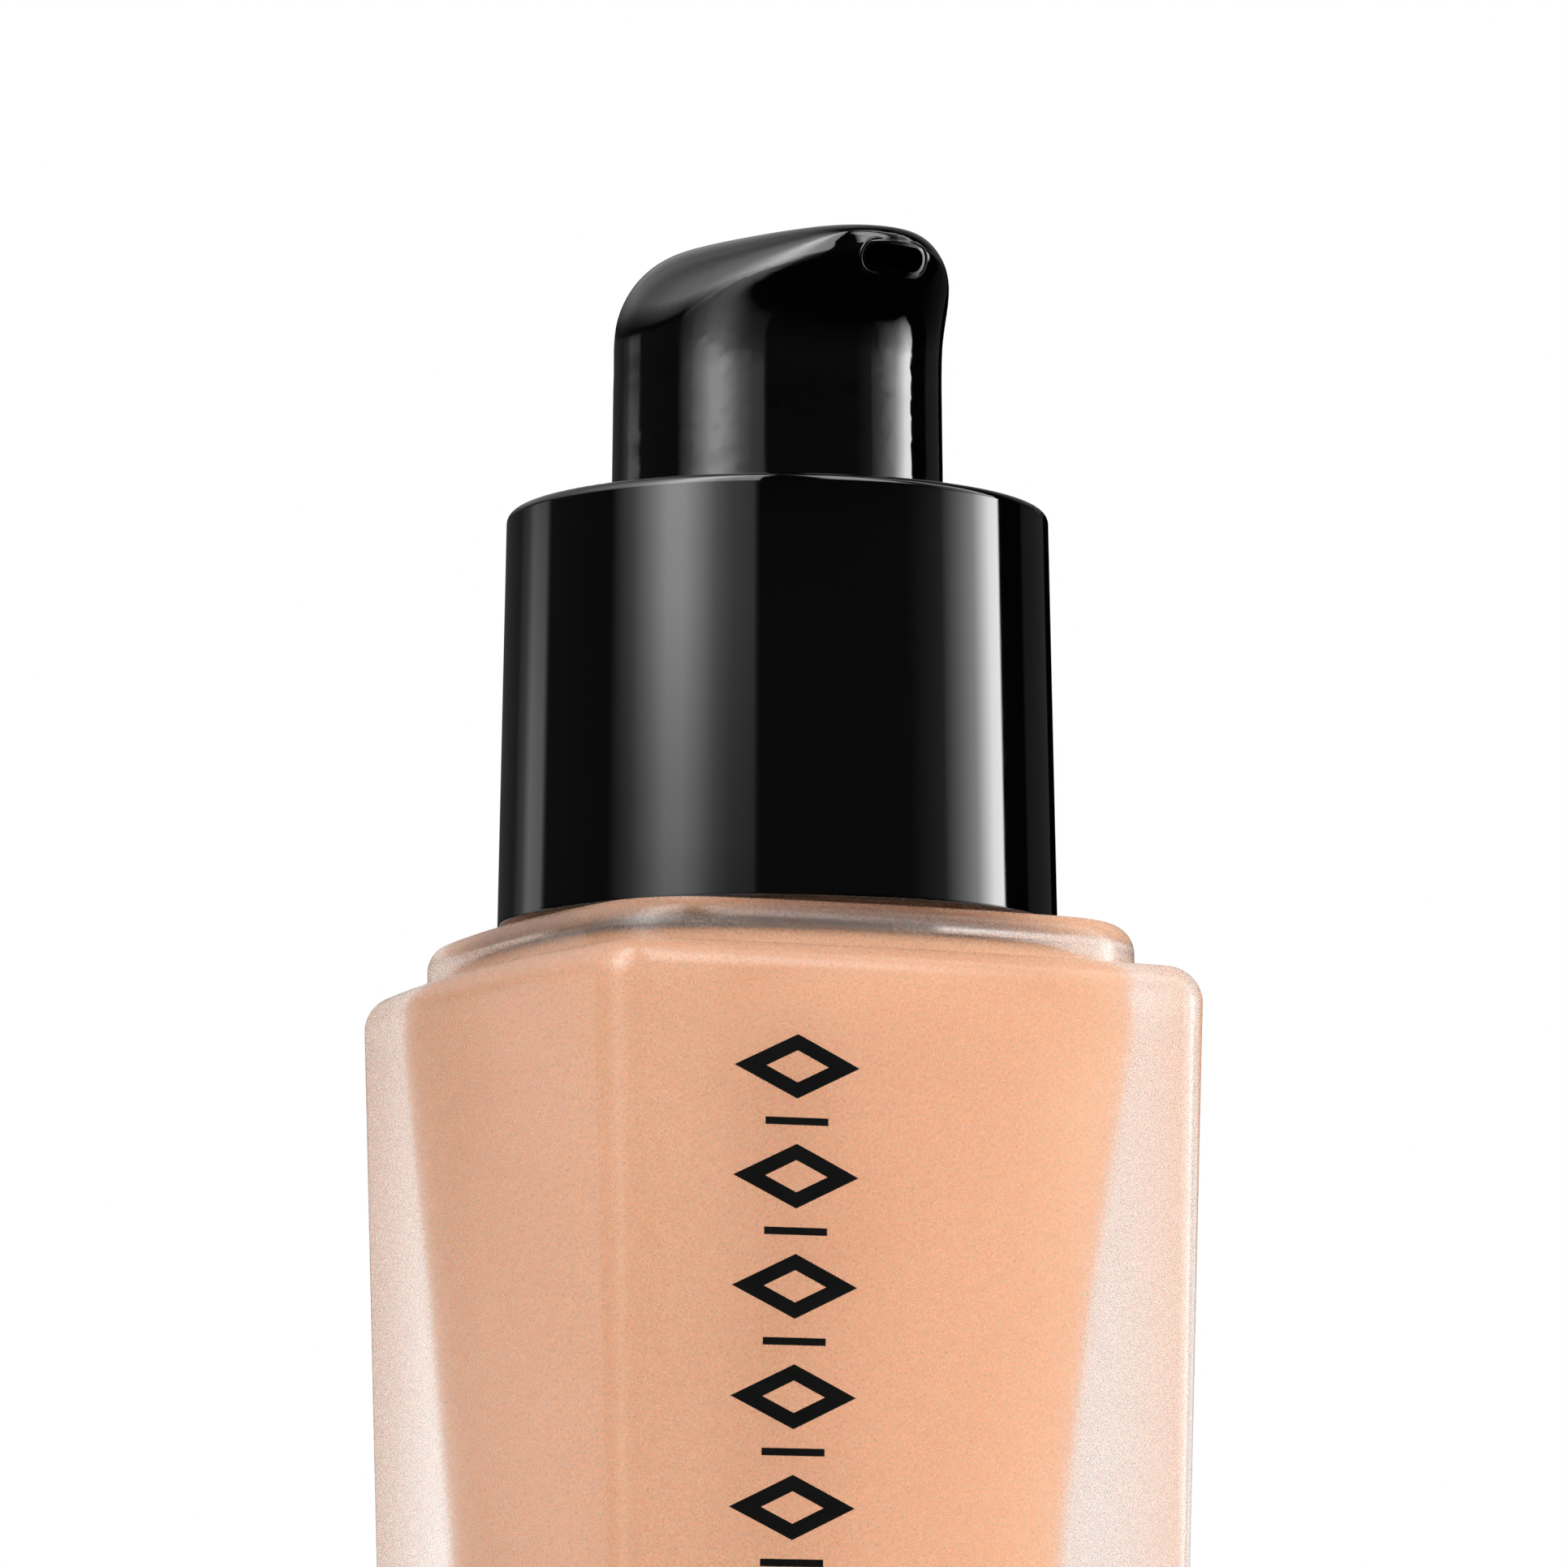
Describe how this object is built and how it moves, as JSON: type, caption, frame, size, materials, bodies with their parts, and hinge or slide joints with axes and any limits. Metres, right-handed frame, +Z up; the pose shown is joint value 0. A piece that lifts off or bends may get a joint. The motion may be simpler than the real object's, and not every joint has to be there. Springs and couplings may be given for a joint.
{
  "type": "foundation bottle",
  "caption": "Square frosted glass foundation bottle with a black screw-on treatment pump that presses and swivels.",
  "frame": {"origin": "centre of the base, on the surface the bottle stands on", "axes": "+Z up along the neck, -Y out of the printed front face"},
  "size_m": [0.0338, 0.0338, 0.1058],
  "materials": {
    "frosted_glass": "thick clear glass with a fine frosted outside",
    "foundation": "opaque peach liquid",
    "black_ink": "black screen print",
    "label_film": "off-white film label",
    "gasket_foam": "white foam disc",
    "pump_white": "natural white polypropylene",
    "tube_clear": "translucent polyethylene",
    "spring_steel": "stainless spring wire",
    "ball_steel": "polished stainless ball",
    "pump_natural": "natural polyethylene",
    "core_black": "black polypropylene",
    "gloss_black": "piano-black moulded shell",
    "gloss_black_insert": "black moulded mouthpiece",
    "closure_black": "black polypropylene with a moulded thread",
    "gloss_black_collar": "piano-black moulded shroud"
  },
  "bodies": {
    "bottle": {"glass_bottle": "frosted_glass", "foundation_fill": "foundation", "printed_motif": "black_ink", "base_label": "label_film"},
    "engine": {"pump_housing": "pump_white", "turret": "pump_white", "neck_gasket": "gasket_foam", "dip_tube": "tube_clear", "return_spring": "spring_steel"},
    "collar": {"inner_closure": "closure_black", "outer_collar": "gloss_black_collar"},
    "plunger": {"piston": "pump_natural"},
    "head": {"actuator_shell": "gloss_black", "actuator_core": "core_black", "outlet_insert": "gloss_black_insert", "stem": "pump_white", "valve_core": "pump_natural"},
    "ball": {"check_ball": "ball_steel"}
  },
  "joints": [
    {"name": "pump_lift", "type": "slide", "parent": "bottle", "child": "engine", "axis": [0, 0, 1], "range_m": [0, 0.00397]},
    {"name": "collar_turn", "type": "hinge", "parent": "engine", "child": "collar", "pos_m": [0, 0, 0.083], "axis": [0, 0, 1], "range_deg": [0, 450]},
    {"name": "pump_stroke", "type": "slide", "parent": "engine", "child": "plunger", "axis": [0, 0, -1], "range_m": [0, 0.0042], "stiffness_N_per_m": 900, "springref_m": -0.004, "deforming": ["return_spring"]},
    {"name": "head_swivel", "type": "hinge", "parent": "plunger", "child": "head", "pos_m": [0, 0, 0.095], "axis": [0, 0, 1], "continuous": true},
    {"name": "ball_lift", "type": "slide", "parent": "engine", "child": "ball", "axis": [0, 0, 1], "range_m": [0, 0.0008]}
  ],
  "couplings": [
    {"joint": "collar_turn", "follows": "pump_lift", "rad_per_m": 1979}
  ]
}
